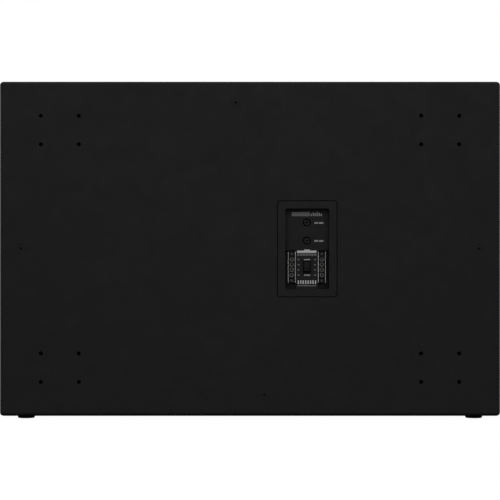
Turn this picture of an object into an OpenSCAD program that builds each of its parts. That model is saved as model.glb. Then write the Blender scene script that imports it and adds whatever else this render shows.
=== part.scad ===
// Dual 18-inch reflex subwoofer cabinet with a recessed rear connector panel.
// Frame: +Z up, the grille faces -Y and the connector panel faces +Y. The origin is on the floor,
// under the centre of the cabinet. "Left" is -X, as a listener in front of the grille sees it.

/* [Cabinet] */
// Width of the cabinet
body_w = 1054; // [1000:1:1150]
// Height of the cabinet without its feet
body_h = 704; // [680:1:800]
// Depth of the cabinet
body_d = 535; // [500:1:650]
// Thickness of the plywood panels
panel_t = 18; // [15:1:21]
// Thickness of the front baffle
baffle_t = 24; // [18:1:27]
// How far the baffle sits behind the front edges
baffle_inset = 45; // [42:1:60]
// Radius of the rounded outer edges
edge_r = 7.5; // [3:0.5:9]
// Radius of the cabinet's four corners as seen from the front or rear
corner_r = 10; // [4:0.5:12]
// Height of the slot ports under the shelf
port_h = 90; // [70:1:95]
// Length of the slot ports from front to back
port_l = 360; // [280:1:380]

/* [Feet and handles] */
// Height of the rubber feet
foot_h = 8; // [6:0.5:12]
// Radius of a foot where it meets the cabinet
foot_r = 19.5; // [16:0.5:22]
// Distance of a foot's centre from the cabinet's side
foot_in_x = 50; // [35:1:70]
// Distance of a foot's centre from the front or back
foot_in_y = 60; // [45:1:80]
// Depth of the handle dishes
handle_depth = 62; // [55:1:75]

/* [Rear fixings] */
// Distance of a castor plate's centre from the cabinet's centre line
castor_x = 400; // [380:1:430]
// Distance of a castor plate's centre from the top or bottom edge
castor_in_z = 102; // [80:1:130]
// Castor bolt spacing across the cabinet
castor_dx = 80; // [70:1:90]
// Castor bolt spacing up the cabinet
castor_dz = 60; // [50:1:70]
// Radius of the castor bolt holes
castor_hole_r = 4.25; // [3.5:0.05:4.5]
// Distance of the rigging points from the nearest cabinet edge
rig_in = 45; // [40:1:60]
// Sideways offset of the top and bottom rigging points from the brace
rig_off = 30; // [25:1:40]

/* [Connector dish] */
// Centre of the dish across the cabinet
dish_x = -120.4; // [-200:0.1:-100]
// Width of the dish flange
dish_w = 124; // [120:1:140]
// Height of the dish flange
dish_h = 200.6; // [190:0.1:220]
// Width of the dish opening
recess_w = 92.6; // [86:0.2:94]
// Height of the dish opening
recess_h = 169.8; // [168:0.2:176]
// Depth of the floor that carries the sockets
floor_depth = 32; // [25:1:36]
// Depth of the two pockets that hold the terminal strips
pocket_depth = 46; // [44:1:50]

/* [Drivers] */
// Outer radius of a driver's frame
driver_r = 230; // [225:1:232]
// Number of bolts that hold a driver
bolt_count = 8; // [6:1:10]

/* [Hidden] */
$fn = 64;

cut = 1;             // how far a cutter runs past the face it opens
x_side = body_w / 2;
x_in = x_side - panel_t;
y_front = -body_d / 2;
y_rear = body_d / 2;
y_rear_in = y_rear - panel_t;
y_baffle = y_front + baffle_inset;
y_baffle_back = y_baffle + baffle_t;
z_bottom = foot_h;
z_top = foot_h + body_h;
z_in0 = z_bottom + panel_t;
z_in1 = z_top - panel_t;
z_shelf = z_in0 + port_h;
z_shelf_top = z_shelf + panel_t;
z_mid = z_bottom + body_h / 2;

castor_zs = [z_bottom + castor_in_z, z_top - castor_in_z];
rig_points = [[rig_off, z_top - rig_in], [-rig_off, z_bottom + rig_in],
    [x_side - rig_in, z_mid], [-(x_side - rig_in), z_mid]];

driver_x = (panel_t / 2 + x_in) / 2;
driver_z = (z_shelf_top + z_in1) / 2;
cutout_r = 208;
gasket_t = 2;
bolt_ring_r = driver_r - 10;

grille_gap = 1;
grille_y = y_front + 5;
grille_t = 1.5;
grille_return = 20;
foam_t = 8;
grille_w = 2 * (x_in - grille_gap);
grille_h = body_h - 2 * panel_t - 2 * grille_gap;
grille_fix_in_x = 29;
grille_fix_in_z = 20;
grille_points = [for (x = [-(x_in - grille_fix_in_x), 0, x_in - grille_fix_in_x],
        z = [z_shelf_top + grille_fix_in_z, z_in1 - grille_fix_in_z]) [x, z],
    [0, driver_z]];

dish_z = z_mid;
dish_flange_t = 3;
dish_wall = 3;
dish_corner_r = 6;
recess_corner_r = 4;
tub_w = recess_w + 2 * dish_wall;
tub_h = recess_h + 2 * dish_wall;
dish_gap = 1.6;
dish_seal_t = 1;
dish_screw_at = [dish_w / 2 - 8, dish_h / 2 - 8];
dish_boss_r = 4;
y_dish_boss = y_rear - dish_flange_t - 8;
y_floor = y_rear - floor_depth;
y_floor_back = y_floor - dish_wall;
y_pocket = y_rear - pocket_depth;
pocket_top = -3;     // upper end of the strip pockets, above the dish's centre
pocket_inner = 23.5; // inner wall of the strip pockets, from the dish's centre line
socket_vs = [55.7, 17.2];
socket_slot_r = 9;
socket_post_r = 4.9;
socket_pin_r = 2.65;
socket_screw_at = [9.5, 12];
strip_x = 31.9;
strip_v = -38.9;
strip_w = 16.3;
strip_l = 65.4;
terminal_pitch = 11;
terminal_vs = [for (i = [0:3]) strip_v + (1.5 - i) * terminal_pitch];
strip_screw_vs = [strip_v + 28.5, strip_v - 28.5];
plate_y_front = y_pocket + 7;
switch_v = strip_v;
switch_w = 17.4;
switch_h = 26;
switch_rim = 2;
rocker_half_l = 9.8;
rocker_w = 12.4;
rocker_tilt = 12;
rocker_pivot_y = y_floor - 1.5;

// ---------- shared shapes ----------

module rounded_rect(w, h, r) {
    square([w - 2 * r, h], center = true);
    square([w, h - 2 * r], center = true);
    for (x = [-1, 1], y = [-1, 1])
        translate([x * (w / 2 - r), y * (h / 2 - r)]) circle(r);
}

// A rounded plate facing along Y, between two depths.
module plate_y(w, h, r, y0, y1) {
    translate([0, y1, 0]) rotate([90, 0, 0]) linear_extrude(y1 - y0) rounded_rect(w, h, r);
}

// A rounded plate facing along X, between two positions.
module plate_x(w, h, r, x0, x1) {
    translate([x0, 0, 0]) rotate([90, 0, 90]) linear_extrude(x1 - x0) rounded_rect(w, h, r);
}

module rod_y(r, y0, y1) {
    translate([0, y0, 0]) rotate([-90, 0, 0]) cylinder(r = r, h = y1 - y0);
}

// A cone along Y whose radius goes from ra at y0 to rb at y1.
module cone_y(ra, rb, y0, y1) {
    translate([0, y0, 0]) rotate([-90, 0, 0]) cylinder(r1 = ra, r2 = rb, h = y1 - y0);
}

module box(x0, x1, y0, y1, z0, z1) {
    translate([x0, y0, z0]) cube([x1 - x0, y1 - y0, z1 - z0]);
}

// The cabinet's outer envelope, rounded along every edge.
module envelope() {
    intersection() {
        translate([0, 0, z_bottom]) linear_extrude(body_h) rounded_rect(body_w, body_d, edge_r);
        translate([0, 0, z_mid]) plate_y(body_w, body_h, corner_r, y_front, y_rear);
        translate([0, 0, z_mid]) plate_x(body_d, body_h, edge_r, -x_side, x_side);
    }
}

// A screw standing along +Z with its head's top at z = 0, a countersunk head and a cross recess.
module countersunk_screw(head_r, head_h, shank_r, length, cross) {
    difference() {
        union() {
            translate([0, 0, -head_h]) cylinder(r1 = shank_r, r2 = head_r, h = head_h);
            translate([0, 0, -length]) cylinder(r = shank_r, h = length - head_h);
        }
        for (a = [0, 90])
            rotate(a) translate([-cross / 2, -0.5, -head_h / 2]) cube([cross, 1, head_h]);
    }
}

// A screw standing along +Z with the underside of its pan head at z = 0 and a cross recess.
module pan_screw(head_r, head_h, shank_r, length, cross) {
    difference() {
        union() {
            cylinder(r = head_r, h = head_h);
            translate([0, 0, -length]) cylinder(r = shank_r, h = length);
        }
        for (a = [0, 90])
            rotate(a) translate([-cross / 2, -0.5, head_h / 2]) cube([cross, 1, head_h]);
    }
}

// Turns something drawn along +Z so that its +Z faces the given way.
module facing_rear() rotate([-90, 0, 0]) children();
module facing_front() rotate([90, 0, 0]) children();

// ---------- cabinet ----------

module top_panel() {
    color("#1c1c1d") intersection() {
        box(-x_in, x_in, y_front, y_rear, z_in1, z_top);
        envelope();
    }
}

foot_points = [for (x = [-1, 1], y = [-1, 1]) [x * (x_side - foot_in_x), y * (y_rear - foot_in_y)]];
wood_screw_r = 2.4;
wood_screw_head_r = 4.6;
wood_screw_head_h = 2.6;
wood_screw_l = 17;
foot_recess = 4;

module bottom_panel() {
    color("#1c1c1d") difference() {
        intersection() {
            box(-x_in, x_in, y_front, y_rear, z_bottom, z_in0);
            envelope();
        }
        for (p = foot_points)
            translate([p[0], p[1], z_bottom - cut]) cylinder(r = wood_screw_r + 0.1, h = 14 + cut);
    }
}

handle_z = z_mid + 40;
handle_flange = [196, 126];
handle_flange_t = 2.5;
handle_opening = [172, 102];
handle_wall = 2;
handle_screws = [for (y = [-1, 0, 1], z = [-1, 1]) [y * 89, z * 57]];

// The left side panel is its mirror image.
module side_panel() {
    color("#1c1c1d") difference() {
        intersection() {
            box(x_in, x_side, y_front, y_rear, z_bottom, z_top);
            envelope();
        }
        translate([0, 0, handle_z]) {
            plate_x(handle_flange[0] + 1, handle_flange[1] + 1, 10.5,
                x_side - handle_flange_t, x_side + cut);
            plate_x(handle_opening[0], handle_opening[1], 8, x_in - cut, x_side);
            for (p = handle_screws)
                translate([x_in - cut, p[0], p[1]]) rotate([0, 90, 0])
                    cylinder(r = wood_screw_r + 0.1, h = panel_t);
        }
    }
}

module rear_panel() {
    color("#1c1c1d") difference() {
        box(-x_in, x_in, y_rear_in, y_rear, z_in0, z_in1);
        for (sx = [-1, 1], z = castor_zs, dx = [-1, 1], dz = [-1, 1])
            translate([sx * castor_x + dx * castor_dx / 2, 0, z + dz * castor_dz / 2]) {
                rod_y(castor_hole_r, y_rear_in - cut, y_rear + cut);
                rod_y(tee_barrel_r + 0.1, y_rear_in - cut, y_rear_in + tee_barrel_l);
            }
        for (p = rig_points)
            translate([p[0], 0, p[1]]) {
                rod_y(rig_hole_r, y_rear_in - cut, y_rear + cut);
                cone_y(rig_hole_r, rig_head_r + 0.4, y_rear - rig_head_h, y_rear);
            }
        translate([dish_x, 0, dish_z]) {
            plate_y(dish_w + 2 * dish_gap, dish_h + 2 * dish_gap, dish_corner_r + dish_gap,
                y_rear - dish_flange_t - dish_seal_t, y_rear + cut);
            plate_y(tub_w + 2, tub_h + 2, recess_corner_r, y_rear_in - cut, y_rear);
            for (x = [-1, 1], z = [-1, 1])
                translate([x * dish_screw_at[0], 0, z * dish_screw_at[1]]) {
                    rod_y(dish_boss_r + 0.3, y_dish_boss - 1, y_rear);
                    rod_y(small_screw_r + 0.3, y_rear_in - cut, y_rear);
                }
        }
    }
}

module front_baffle() {
    color("#202021") difference() {
        box(-x_in, x_in, y_baffle, y_baffle_back, z_shelf_top, z_in1);
        for (s = [-1, 1])
            translate([s * driver_x, 0, driver_z]) {
                rod_y(cutout_r, y_baffle - cut, y_baffle_back + cut);
                for (i = [0:bolt_count - 1])
                    rotate([0, (i + 0.5) * 360 / bolt_count, 0]) translate([bolt_ring_r, 0, 0])
                        rod_y(bolt_r + 0.1, y_baffle - cut, y_baffle_back + cut);
            }
        for (p = grille_points)
            translate([p[0], 0, p[1]]) rod_y(grille_screw_r + 0.1, y_baffle - cut, y_baffle + 21);
    }
}

// A window brace that ties the baffle to the rear panel between the two drivers.
module centre_brace() {
    color("#b58b5a") difference() {
        box(-panel_t / 2, panel_t / 2, y_baffle_back, y_rear_in, z_shelf_top, z_in1);
        for (y = [-80, 125], z = [-1, 1])
            translate([0, y, (z_shelf_top + z_in1) / 2 + z * 135])
                plate_x(150, 210, 6, -panel_t, panel_t);
    }
}

module port_shelf() {
    color("#b58b5a")
        box(-x_in, x_in, y_baffle, y_baffle + port_l, z_shelf, z_shelf_top);
}

module port_divider() {
    color("#b58b5a")
        box(-panel_t / 2, panel_t / 2, y_baffle, y_baffle + port_l, z_in0, z_shelf);
}

// ---------- front grille ----------

grille_screw_r = 2.4;
spacer_r = 10;

module grille() {
    color("#161616") difference() {
        box(-grille_w / 2, grille_w / 2, grille_y, grille_y + grille_return,
            z_mid - grille_h / 2, z_mid + grille_h / 2);
        box(-grille_w / 2 + grille_t, grille_w / 2 - grille_t, grille_y + grille_t,
            grille_y + grille_return + cut,
            z_mid - grille_h / 2 + grille_t, z_mid + grille_h / 2 - grille_t);
        for (p = grille_points)
            translate([p[0], 0, p[1]]) rod_y(grille_screw_r + 0.3, grille_y - cut, grille_y + 2 * cut);
    }
}

module grille_foam() {
    color("#0c0c0d") difference() {
        box(-grille_w / 2 + 2, grille_w / 2 - 2, grille_y + grille_t, grille_y + grille_t + foam_t,
            z_mid - grille_h / 2 + 2, z_mid + grille_h / 2 - 2);
        for (p = grille_points)
            translate([p[0], 0, p[1]]) rod_y(spacer_r + 0.5, grille_y, grille_y + 2 * foam_t);
    }
}

module grille_spacers() {
    color("#111111") for (p = grille_points)
        translate([p[0], 0, p[1]]) difference() {
            rod_y(spacer_r, grille_y + grille_t, y_baffle);
            rod_y(grille_screw_r + 0.3, grille_y, y_baffle + cut);
        }
}

module grille_screws() {
    color("#2a2a2a") for (p = grille_points)
        translate([p[0], grille_y, p[1]]) facing_front()
            pan_screw(5, 2.6, grille_screw_r, y_baffle + 20 - grille_y, 5.5);
}

// ---------- feet, handles and wood screws ----------

module feet() {
    color("#0d0d0d") for (p = foot_points)
        translate([p[0], p[1], 0]) difference() {
            union() {
                cylinder(r1 = foot_r - 2.5, r2 = foot_r, h = foot_h - 2.5);
                translate([0, 0, foot_h - 2.5]) cylinder(r = foot_r, h = 2.5);
            }
            translate([0, 0, -cut]) cylinder(r = wood_screw_head_r + 1.4, h = foot_recess + cut);
            cylinder(r = wood_screw_r + 0.2, h = foot_h + cut);
            translate([0, 0, foot_recess - 0.01])
                cylinder(r1 = wood_screw_head_r + 0.2, r2 = wood_screw_r + 0.2, h = wood_screw_head_h);
        }
}

module panel_screws() {
    color("#303030") {
        for (p = foot_points)
            translate([p[0], p[1], foot_recess]) rotate([180, 0, 0])
                countersunk_screw(wood_screw_head_r, wood_screw_head_h, wood_screw_r,
                    wood_screw_l - 1, 5);
        for (s = [0, 180], p = handle_screws)
            rotate(s) translate([x_side, p[0], handle_z + p[1]]) rotate([0, 90, 0])
                countersunk_screw(wood_screw_head_r, wood_screw_head_h, wood_screw_r, wood_screw_l, 5);
    }
}

module handle_dish() {
    w = handle_opening[0] - 1;
    h = handle_opening[1] - 1;
    difference() {
        union() {
            plate_x(handle_flange[0], handle_flange[1], 10, x_side - handle_flange_t, x_side);
            plate_x(w, h, 7.5, x_side - handle_depth, x_side - handle_flange_t);
        }
        plate_x(w - 2 * handle_wall, h - 2 * handle_wall, 6,
            x_side - handle_depth + handle_wall, x_side + cut);
        for (p = handle_screws)
            translate([x_side, p[0], p[1]]) rotate([0, -90, 0]) {
                translate([0, 0, -cut]) cylinder(r = wood_screw_head_r + 0.2, h = cut);
                cylinder(r1 = wood_screw_head_r + 0.2, r2 = wood_screw_r + 0.3, h = handle_flange_t);
            }
    }
}

module handle_dishes() {
    color("#141414") for (s = [0, 180])
        rotate(s) translate([0, 0, handle_z]) handle_dish();
}

handle_bar_in = 17;   // from the cabinet's side to the bar's axis
handle_bar_r = 7;
handle_grip_r = 12.5;
handle_grip_l = 122;

module handle_bars() {
    l = handle_opening[0] - 1 - 2 * handle_wall;
    color("#101010") for (s = [0, 180])
        rotate(s) translate([x_side - handle_bar_in, -l / 2, handle_z]) rotate([-90, 0, 0])
            rotate_extrude() polygon([[0, 0], [handle_bar_r, 0],
                [handle_bar_r, (l - handle_grip_l) / 2 - 3], [handle_grip_r, (l - handle_grip_l) / 2 + 3],
                [handle_grip_r, (l + handle_grip_l) / 2 - 3], [handle_bar_r, (l + handle_grip_l) / 2 + 3],
                [handle_bar_r, l], [0, l]]);
}

// ---------- rear fixings ----------

tee_barrel_r = 5.4;
tee_barrel_l = 12;
tee_bore_r = 4.25;
tee_flange_r = 11;
tee_flange_t = 1.5;

module castor_tee_nuts() {
    color("#b9b9b4") for (sx = [-1, 1], z = castor_zs, dx = [-1, 1], dz = [-1, 1])
        translate([sx * castor_x + dx * castor_dx / 2, 0, z + dz * castor_dz / 2]) difference() {
            union() {
                rod_y(tee_flange_r, y_rear_in - tee_flange_t, y_rear_in);
                rod_y(tee_barrel_r, y_rear_in, y_rear_in + tee_barrel_l - 1);
            }
            rod_y(tee_bore_r, y_rear_in - tee_flange_t - cut, y_rear_in + tee_barrel_l);
        }
}

rig_hole_r = 5.5;
rig_bolt_r = 4.9;
rig_bore_r = 5;
rig_head_r = 10;
rig_head_h = 5.4;
rig_bolt_l = 30;
rig_socket_af = 6;
rig_plate = 50;
rig_plate_t = 5;
rig_boss_r = 9;
rig_boss_h = 12;

module rigging_inserts() {
    color("#8e8e8a") for (p = rig_points)
        translate([p[0], 0, p[1]]) {
            // the plates beside the brace and the panels are cut back to clear them
            difference() {
                intersection() {
                    plate_y(rig_plate, rig_plate, 4, y_rear_in - rig_plate_t, y_rear_in);
                    translate([-p[0], 0, -p[1]]) rig_room();
                }
                rod_y(rig_bore_r, y_rear_in - rig_plate_t - cut, y_rear_in + cut);
            }
            difference() {
                rod_y(rig_boss_r, y_rear_in - rig_plate_t - rig_boss_h, y_rear_in - rig_plate_t);
                rod_y(rig_bore_r, y_rear_in - rig_plate_t - rig_boss_h - cut, y_rear_in);
            }
        }
}

// The free space inside the cabinet, on both sides of the brace.
module rig_room() {
    for (s = [0, 1])
        mirror([s, 0, 0])
            box(panel_t / 2 + 1, x_in - 1, 0, y_rear, z_in0 + 1, z_in1 - 1);
}

module rigging_blanking_bolts() {
    color("#1d1d1d") for (p = rig_points)
        translate([p[0], 0, p[1]]) difference() {
            union() {
                cone_y(rig_bolt_r, rig_head_r, y_rear - rig_head_h, y_rear);
                rod_y(rig_bolt_r, y_rear - rig_bolt_l, y_rear - rig_head_h);
            }
            translate([0, y_rear - rig_head_h, 0]) rotate([-90, 0, 0])
                cylinder(r = rig_socket_af / sqrt(3), h = rig_head_h + cut, $fn = 6);
        }
}

// ---------- connector dish ----------

small_screw_r = 1.5;
small_screw_head_r = 3;
small_screw_head_h = 1.7;

// The two pockets for the terminal strips between two depths, grown on every side, with corner radius r.
module dish_pockets(r, y0, y1, grow) {
    for (s = [-1, 1])
        translate([s * (pocket_inner + recess_w / 2) / 2, 0, (pocket_top - recess_h / 2) / 2])
            plate_y(recess_w / 2 - pocket_inner + 2 * grow, pocket_top + recess_h / 2 + 2 * grow,
                r, y0, y1);
}

module input_dish() {
    color("#1a1a1b") translate([dish_x, 0, dish_z]) difference() {
        union() {
            plate_y(dish_w, dish_h, dish_corner_r, y_rear - dish_flange_t, y_rear);
            plate_y(tub_w, tub_h, recess_corner_r + 1, y_floor_back, y_rear - dish_flange_t);
            dish_pockets(3, y_pocket - dish_wall, y_floor_back, dish_wall);
            for (x = [-1, 1], z = [-1, 1])
                translate([x * dish_screw_at[0], 0, z * dish_screw_at[1]])
                    rod_y(dish_boss_r, y_dish_boss, y_rear - dish_flange_t);
        }
        plate_y(recess_w, recess_h, recess_corner_r, y_floor, y_rear + cut);
        dish_pockets(2, y_pocket, y_floor + cut, 0);
        for (v = socket_vs)
            translate([0, 0, v]) {
                rod_y(socket_slot_r - 0.3, y_floor_back - cut, y_floor + cut);
                for (s = [-1, 1])
                    translate([s * socket_screw_at[0], 0, s * socket_screw_at[1]])
                        rod_y(small_screw_r + 0.1, y_floor_back - cut, y_floor - 0.6);
            }
        for (s = [-1, 1]) {
            for (v = strip_screw_vs)
                translate([s * strip_x, 0, v])
                    rod_y(small_screw_r + 0.1, y_pocket - dish_wall - cut, y_pocket + cut);
            for (v = terminal_vs)
                translate([s * (strip_x - tab_off), 0, v])
                    box(-tab_t / 2 - 0.3, tab_t / 2 + 0.3, y_pocket - dish_wall - cut, y_pocket + cut,
                        -tab_w / 2 - 0.3, tab_w / 2 + 0.3);
        }
        translate([0, 0, switch_v])
            box(-switch_body_w / 2 - 0.2, switch_body_w / 2 + 0.2, y_floor_back - cut, y_floor + cut,
                -switch_body_h / 2 - 0.2, switch_body_h / 2 + 0.2);
        for (x = [-1, 1], z = [-1, 1])
            translate([x * dish_screw_at[0], 0, z * dish_screw_at[1]])
                rod_y(small_screw_r + 0.1, y_dish_boss - cut, y_rear - 1.2);
    }
}

module dish_gasket() {
    color("#0b0b0b") translate([dish_x, 0, dish_z]) difference() {
        plate_y(dish_w, dish_h, dish_corner_r,
            y_rear - dish_flange_t - dish_seal_t, y_rear - dish_flange_t);
        plate_y(tub_w + 2, tub_h + 2, recess_corner_r,
            y_rear - dish_flange_t - dish_seal_t - cut, y_rear);
        for (x = [-1, 1], z = [-1, 1])
            translate([x * dish_screw_at[0], 0, z * dish_screw_at[1]])
                rod_y(dish_boss_r + 0.3, y_rear - 2 * dish_flange_t, y_rear);
    }
}

socket_flange = [26, 31];
socket_flange_t = 2.2;
socket_barrel_r = 12;
socket_depth = 30;
slot_depth = 22;
contact_w = 3;
contact_t = 0.8;

module socket(v) {
    translate([dish_x, 0, dish_z + v]) difference() {
        union() {
            plate_y(socket_flange[0], socket_flange[1], 3, y_floor_back - socket_flange_t, y_floor_back);
            rod_y(socket_barrel_r, y_floor_back - socket_depth, y_floor_back - socket_flange_t);
            rod_y(socket_post_r, y_floor_back - socket_flange_t, y_floor - 1);
        }
        difference() {
            rod_y(socket_slot_r, y_floor_back - slot_depth, y_floor + cut);
            rod_y(socket_post_r, y_floor_back - slot_depth - cut, y_floor + 2 * cut);
        }
        rod_y(socket_pin_r, y_floor_back - slot_depth, y_floor + cut);
        for (a = [45:90:315])
            rotate([0, a, 0]) translate([socket_post_r + 0.1, 0, 0])
                box(-0.1, contact_t + 0.1,
                    y_floor_back - socket_depth - cut, y_floor_back - slot_depth + cut,
                    -contact_w / 2 - 0.1, contact_w / 2 + 0.1);
        for (s = [-1, 1])
            translate([s * socket_screw_at[0], 0, s * socket_screw_at[1]])
                rod_y(small_screw_r + 0.1, y_floor_back - socket_depth - cut, y_floor);
    }
}

module input_socket() color("#101012") socket(socket_vs[0]);
module link_socket() color("#101012") socket(socket_vs[1]);

module socket_contacts() {
    color("#c9b98a") for (v = socket_vs, a = [45:90:315])
        translate([dish_x, 0, dish_z + v]) rotate([0, a, 0]) translate([socket_post_r + 0.1, 0, 0])
            box(0, contact_t, y_floor_back - socket_depth - 9, y_floor_back - 9,
                -contact_w / 2, contact_w / 2);
}

module input_panel_screws() {
    color("#262628") translate([dish_x, 0, dish_z]) {
        for (x = [-1, 1], z = [-1, 1])
            translate([x * dish_screw_at[0], y_rear_in, z * dish_screw_at[1]]) facing_front()
                pan_screw(small_screw_head_r, small_screw_head_h, small_screw_r, panel_t - 2, 3.6);
        for (v = socket_vs, s = [-1, 1])
            translate([s * socket_screw_at[0], y_floor_back - socket_flange_t,
                v + s * socket_screw_at[1]])
                facing_front()
                    pan_screw(small_screw_head_r, small_screw_head_h, small_screw_r,
                        socket_flange_t + 2, 3.6);
        for (s = [-1, 1], v = strip_screw_vs)
            translate([s * strip_x, y_pocket + strip_end_h, v]) facing_rear()
                pan_screw(small_screw_head_r, small_screw_head_h, small_screw_r, strip_end_h + 5, 3.6);
    }
}

strip_h = 14;        // height of the barriers above the pocket floor
strip_end_h = 8;     // height of the two ends that the fixing screws hold
strip_rail = 1.2;    // thickness of the side walls
strip_end_l = 8.5;   // length of the recess over each fixing screw
strip_end_wall = 1;
tab_w = 6.3;
tab_t = 0.8;
tab_off = 3.6;
terminal_screw_r = 1.7;
terminal_head_r = 4.2;
terminal_head_h = 2.6;
terminal_cup_r = 2.9;
terminal_cup_depth = 0.9;
terminal_plate_t = 1;

module terminal_strips() {
    well_w = strip_w - 2 * strip_rail;
    well_h = terminal_pitch - 1.6;
    color("#0e0e0f") for (s = [-1, 1])
        translate([dish_x + s * strip_x, 0, dish_z]) difference() {
            box(-strip_w / 2, strip_w / 2, y_pocket, y_pocket + strip_h,
                strip_v - strip_l / 2, strip_v + strip_l / 2);
            for (v = terminal_vs)
                translate([0, 0, v]) {
                    box(-well_w / 2, well_w / 2, plate_y_front - terminal_plate_t,
                        y_pocket + strip_h + cut, -well_h / 2, well_h / 2);
                    rod_y(terminal_screw_r + 0.1, y_pocket + 1, y_pocket + strip_h);
                    translate([-s * tab_off, 0, 0])
                        box(-tab_t / 2 - 0.1, tab_t / 2 + 0.1, y_pocket - cut, y_pocket + strip_h / 2,
                            -tab_w / 2 - 0.1, tab_w / 2 + 0.1);
                }
            for (e = [-1, 1])
                translate([0, 0, strip_v + e * (strip_l / 2 - strip_end_wall - strip_end_l / 2)])
                    box(-well_w / 2, well_w / 2, y_pocket + strip_end_h, y_pocket + strip_h + cut,
                        -strip_end_l / 2, strip_end_l / 2);
            for (v = strip_screw_vs)
                translate([0, 0, v]) rod_y(small_screw_r + 0.1, y_pocket - cut, y_pocket + strip_h);
        }
}

module terminal_plates() {
    color("#c8b47a") for (s = [-1, 1], v = terminal_vs)
        translate([dish_x + s * strip_x, 0, dish_z + v]) difference() {
            union() {
                box(-5.2, 5.2, plate_y_front - terminal_plate_t, plate_y_front, -4.4, 4.4);
                translate([-s * tab_off, 0, 0])
                    box(-tab_t / 2, tab_t / 2, y_pocket - dish_wall - 12, plate_y_front - terminal_plate_t,
                        -tab_w / 2, tab_w / 2);
            }
            rod_y(terminal_screw_r + 0.1, plate_y_front - 2 * terminal_plate_t, plate_y_front + cut);
        }
}

// side -1 is the strip nearer the cabinet's left, and the first screw is the top one
module terminal_screw(side, index) {
    color("#b7a472")
        translate([dish_x + side * strip_x, plate_y_front, dish_z + terminal_vs[index]]) facing_rear()
            difference() {
                union() {
                    translate([0, 0, 0.05]) cylinder(r = terminal_head_r, h = terminal_head_h);
                    translate([0, 0, -5.5]) cylinder(r = terminal_screw_r, h = 5.6);
                }
                translate([0, 0, terminal_head_h - terminal_cup_depth]) {
                    cylinder(r = terminal_cup_r, h = 2);
                    translate([-0.5, -2.6, -0.8]) cube([1, 5.2, 2]);
                }
            }
}

switch_body_w = 14.6;
switch_body_h = 23.6;
switch_window_h = 2 * rocker_half_l + 2.2;
switch_depth = 20;

module mode_switch_body() {
    color("#0a0a0b") translate([dish_x, 0, dish_z + switch_v]) difference() {
        union() {
            plate_y(switch_w, switch_h, 1, y_floor, y_floor + switch_rim);
            box(-switch_body_w / 2, switch_body_w / 2, y_floor - switch_depth, y_floor,
                -switch_body_h / 2, switch_body_h / 2);
        }
        box(-rocker_w / 2 - 0.3, rocker_w / 2 + 0.3, y_floor - 9, y_floor + switch_rim + cut,
            -switch_window_h / 2, switch_window_h / 2);
        translate([-rocker_w / 2 - 1.5, rocker_pivot_y, 0]) rotate([0, 90, 0])
            cylinder(r = 1.05, h = rocker_w + 3);
    }
}

// The rocker lies with its upper half pressed in, and its pivot pin turns in the body.
module mode_switch_rocker() {
    rise = rocker_half_l * tan(rocker_tilt);
    color("#121213") translate([dish_x - rocker_w / 2, rocker_pivot_y, dish_z + switch_v])
        rotate([rocker_tilt, 0, 0]) {
            rotate([90, 0, 90]) linear_extrude(rocker_w)
                polygon([[3.2, 0], [3.2 + rise, rocker_half_l], [-0.5, rocker_half_l], [-4, 3],
                    [-4, -3], [-0.5, -rocker_half_l], [3.2 + rise, -rocker_half_l]]);
            translate([-1.2, 0, 0]) rotate([0, 90, 0]) cylinder(r = 1, h = rocker_w + 2.4);
        }
}

// ---------- drivers, drawn with +Z out of the baffle and z = 0 on its face ----------

bolt_r = 3;
flange_t = 7;
flange_z = gasket_t;
ledge_z = flange_z + 2;
surround_t = 1;
roll_out_r = 205;
roll_in_r = 185;
cone_lip_r = 177;
neck_z = -85;
coil_r = 50;
plate_z = -130;
plate_t = 12;
magnet_t = 25;
magnet_r = 110;
spider_z = -96;
spider_out_r = 104;
spider_under = 0.2;
landing_z = spider_z - spider_under;
spider_flat_r = 91;

module at_driver(side) {
    translate([side * driver_x, y_baffle, driver_z]) facing_front() children();
}

module basket() {
    difference() {
        rotate_extrude($fn = 96) polygon([
            [driver_r, flange_z], [driver_r, flange_z + flange_t], [214, flange_z + flange_t],
            [214, ledge_z], [201, ledge_z], [201, -30], [112, -94], [108, landing_z], [92, landing_z],
            [92, -112], [62, plate_z + 9], [62, plate_z], [magnet_r + 4, plate_z],
            [magnet_r + 4, -100], [cutout_r - 2, -33], [cutout_r - 2, flange_z]]);
        for (i = [0:7])
            rotate(i * 45) linear_extrude(200, center = true)
                polygon([[120 * cos(15), -120 * sin(15)], [196 * cos(18), -196 * sin(18)],
                    [198, 0], [196 * cos(18), 196 * sin(18)], [120 * cos(15), 120 * sin(15)]]);
        for (i = [0:bolt_count - 1])
            rotate((i + 0.5) * 360 / bolt_count) translate([bolt_ring_r, 0, 0])
                cylinder(r = bolt_r + 0.4, h = 20);
    }
}

// A single half roll with a flat rim on each side.
module surround() {
    mid = (roll_out_r + roll_in_r) / 2;
    roll = (roll_out_r - roll_in_r) / 2;
    rotate_extrude($fn = 96) {
        difference() {
            translate([mid, ledge_z]) circle(roll);
            translate([mid, ledge_z]) circle(roll - surround_t);
            translate([mid - 2 * roll, ledge_z - 3 * roll]) square([4 * roll, 3 * roll]);
        }
        translate([roll_out_r - surround_t, ledge_z])
            square([213 - roll_out_r + surround_t, surround_t]);
        translate([cone_lip_r, ledge_z]) square([roll_in_r - cone_lip_r + surround_t, surround_t]);
    }
}

cone_wall = 2.6;

module cone() {
    rotate_extrude($fn = 96) polygon(concat(
        [[roll_in_r, ledge_z], [cone_lip_r, ledge_z]],
        [for (i = [0:11]) let (t = i / 11) [cone_at(t)[0], cone_at(t)[1]]],
        [for (i = [11:-1:0]) let (t = i / 11) [cone_at(t)[0] + 0.6, cone_at(t)[1] - cone_wall]],
        [[roll_in_r, ledge_z - 2]]));
}

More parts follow.
